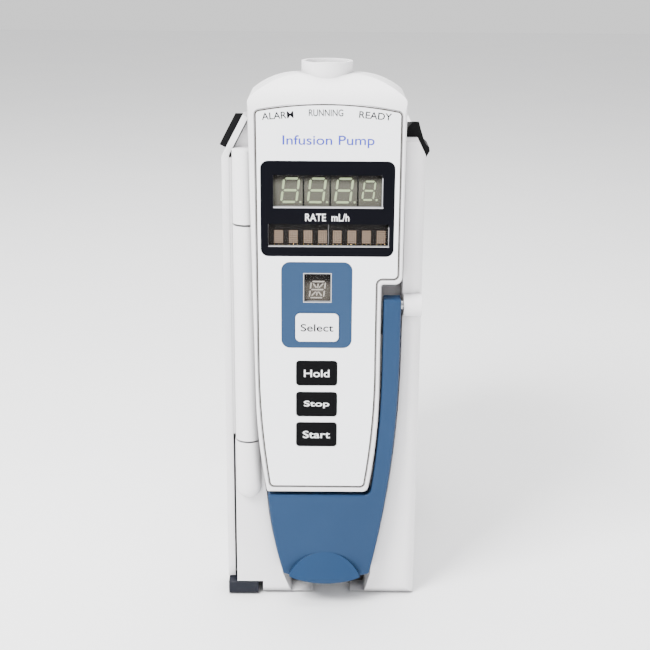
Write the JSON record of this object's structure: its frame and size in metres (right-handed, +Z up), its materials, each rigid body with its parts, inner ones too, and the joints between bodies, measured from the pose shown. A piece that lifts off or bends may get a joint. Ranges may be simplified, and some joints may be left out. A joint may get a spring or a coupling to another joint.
{
  "type": "infusion pump module",
  "caption": "Upright infusion pump module with a side-hinged display door, a swing-up latch lever, side connectors and a peristaltic finger mechanism behind the door.",
  "frame": {"origin": "centre of the footprint, on the flat base", "axes": "+Z up, the door faces -Y, +X is the right side as the user faces the door"},
  "size_m": [0.0845, 0.1426, 0.226],
  "materials": {
    "white_shell": "fine satin, lightly textured",
    "plate_film": "satin film",
    "black_plastic": "satin",
    "contact_metal": "gold-like",
    "cast_frame": "cast",
    "steel": "plain",
    "motor_black": "satin",
    "silicone": "matt",
    "sensor_grey": "satin",
    "circuit_board": "solder mask",
    "ribbon": "flat cable",
    "inner_plate": "satin",
    "label_film": "satin film",
    "blue_film": "satin film",
    "black_gloss": "gloss",
    "clear_lens": "clear",
    "display_face": "display",
    "message_face": "display",
    "lamp_diffuser": "diffuser",
    "key_black": "satin",
    "key_white": "satin",
    "aluminium_plate": "machined",
    "blue_plastic": "satin",
    "navy_plastic": "satin",
    "nylon": "natural",
    "brass_gear": "machined"
  },
  "bodies": {
    "case": {"rear_case": "white_shell", "rating_plate": "plate_film", "front_case": "white_shell", "left_connector": "black_plastic", "right_connector": "black_plastic", "connector_contacts": "contact_metal", "mechanism_frame": "cast_frame", "mechanism_screws": "steel", "cam_bearings": "steel", "drive_motor": "motor_black", "membrane_seal": "silicone", "upstream_sensor": "sensor_grey", "downstream_sensor": "sensor_grey", "air_sensor": "sensor_grey", "upper_tube_guide": "white_shell", "clamp_holder": "sensor_grey", "logic_board": "circuit_board", "board_parts": "black_plastic", "board_standoffs": "contact_metal", "encoder_sensor": "black_plastic", "release_latch_spring": "steel", "door_hinge_pin": "steel", "ribbon_cable": "ribbon", "case_screws": "steel"},
    "door": {"door_bezel": "white_shell", "door_back_panel": "inner_plate", "door_screws": "steel", "keypad_overlay": "label_film", "select_panel": "blue_film", "display_mask": "black_gloss", "display_lens": "clear_lens", "rate_display": "display_face", "message_display": "message_face", "channel_display": "display_face", "key_domes": "steel", "display_board": "circuit_board", "status_lamps": "lamp_diffuser", "platen_springs": "steel"},
    "lever": {"latch_lever": "blue_plastic", "lever_shaft": "steel"},
    "latch_bar": {"latch_slide": "steel"},
    "release": {"release_latch": "navy_plastic"},
    "platen_plate": {"platen": "aluminium_plate"},
    "cam": {"camshaft": "steel", "cam_gear": "nylon", "encoder_wheel": "steel"},
    "pinion": {"motor_pinion": "brass_gear"},
    "clamp": {"clamp_arm": "steel"},
    "key_pause_body": {"key_pause": "key_black"},
    "key_channel_off_body": {"key_channel_off": "key_black"},
    "key_restart_body": {"key_restart": "key_black"},
    "key_channel_select_body": {"key_channel_select": "key_white"},
    "finger_1": {"pump_finger_1": "nylon"},
    "finger_2": {"pump_finger_2": "nylon"},
    "finger_3": {"pump_finger_3": "nylon"},
    "finger_4": {"pump_finger_4": "nylon"},
    "finger_5": {"pump_finger_5": "nylon"},
    "finger_6": {"pump_finger_6": "nylon"}
  },
  "joints": [
    {"name": "door_hinge", "type": "hinge", "parent": "case", "child": "door", "pos_m": [-0.0303, -0.061, 0.12], "axis": [0, 0, -1], "range_deg": [0, 110]},
    {"name": "lever_turn", "type": "hinge", "parent": "case", "child": "lever", "pos_m": [0.028, -0.062, 0.131], "axis": [-1, 0, 0], "range_deg": [0, 90]},
    {"name": "latch_travel", "type": "slide", "parent": "case", "child": "latch_bar", "axis": [0, 0, -1], "range_m": [0, 0.012]},
    {"name": "release_slide", "type": "slide", "parent": "case", "child": "release", "axis": [1, 0, 0], "range_m": [0, 0.0015], "stiffness_N_per_m": 800},
    {"name": "platen_slide", "type": "slide", "parent": "door", "child": "platen_plate", "axis": [0, -1, 0], "range_m": [0, 0.0008], "stiffness_N_per_m": 3000},
    {"name": "cam_spin", "type": "hinge", "parent": "case", "child": "cam", "pos_m": [0.0012, -0.0315, 0.12], "axis": [0, 0, 1], "continuous": true},
    {"name": "pinion_spin", "type": "hinge", "parent": "case", "child": "pinion", "pos_m": [0.0012, -0.0135, 0.166], "axis": [0, 0, 1], "continuous": true},
    {"name": "clamp_slide", "type": "slide", "parent": "case", "child": "clamp", "axis": [0, 1, 0], "range_m": [0, 0.003], "stiffness_N_per_m": 200},
    {"name": "key_pause_press", "type": "slide", "parent": "door", "child": "key_pause_body", "axis": [0, 1, 0], "range_m": [0, 0.0005], "stiffness_N_per_m": 1500},
    {"name": "key_channel_off_press", "type": "slide", "parent": "door", "child": "key_channel_off_body", "axis": [0, 1, 0], "range_m": [0, 0.0005], "stiffness_N_per_m": 1500},
    {"name": "key_restart_press", "type": "slide", "parent": "door", "child": "key_restart_body", "axis": [0, 1, 0], "range_m": [0, 0.0005], "stiffness_N_per_m": 1500},
    {"name": "key_channel_select_press", "type": "slide", "parent": "door", "child": "key_channel_select_body", "axis": [0, 1, 0], "range_m": [0, 0.0005], "stiffness_N_per_m": 1500},
    {"name": "finger_1_slide", "type": "slide", "parent": "case", "child": "finger_1", "axis": [0, -1, 0], "range_m": [-0.0018, 0]},
    {"name": "finger_2_slide", "type": "slide", "parent": "case", "child": "finger_2", "axis": [0, -1, 0], "range_m": [-0.00135, 0.00045]},
    {"name": "finger_3_slide", "type": "slide", "parent": "case", "child": "finger_3", "axis": [0, -1, 0], "range_m": [-0.00045, 0.00135]},
    {"name": "finger_4_slide", "type": "slide", "parent": "case", "child": "finger_4", "axis": [0, -1, 0], "range_m": [0, 0.0018]},
    {"name": "finger_5_slide", "type": "slide", "parent": "case", "child": "finger_5", "axis": [0, -1, 0], "range_m": [-0.00045, 0.00135]},
    {"name": "finger_6_slide", "type": "slide", "parent": "case", "child": "finger_6", "axis": [0, -1, 0], "range_m": [-0.00135, 0.00045]}
  ],
  "couplings": [
    {"joint": "pinion_spin", "follows": "cam_spin", "ratio": -4},
    {"joint": "latch_travel", "follows": "lever_turn", "m_per_rad": 0.0076}
  ]
}
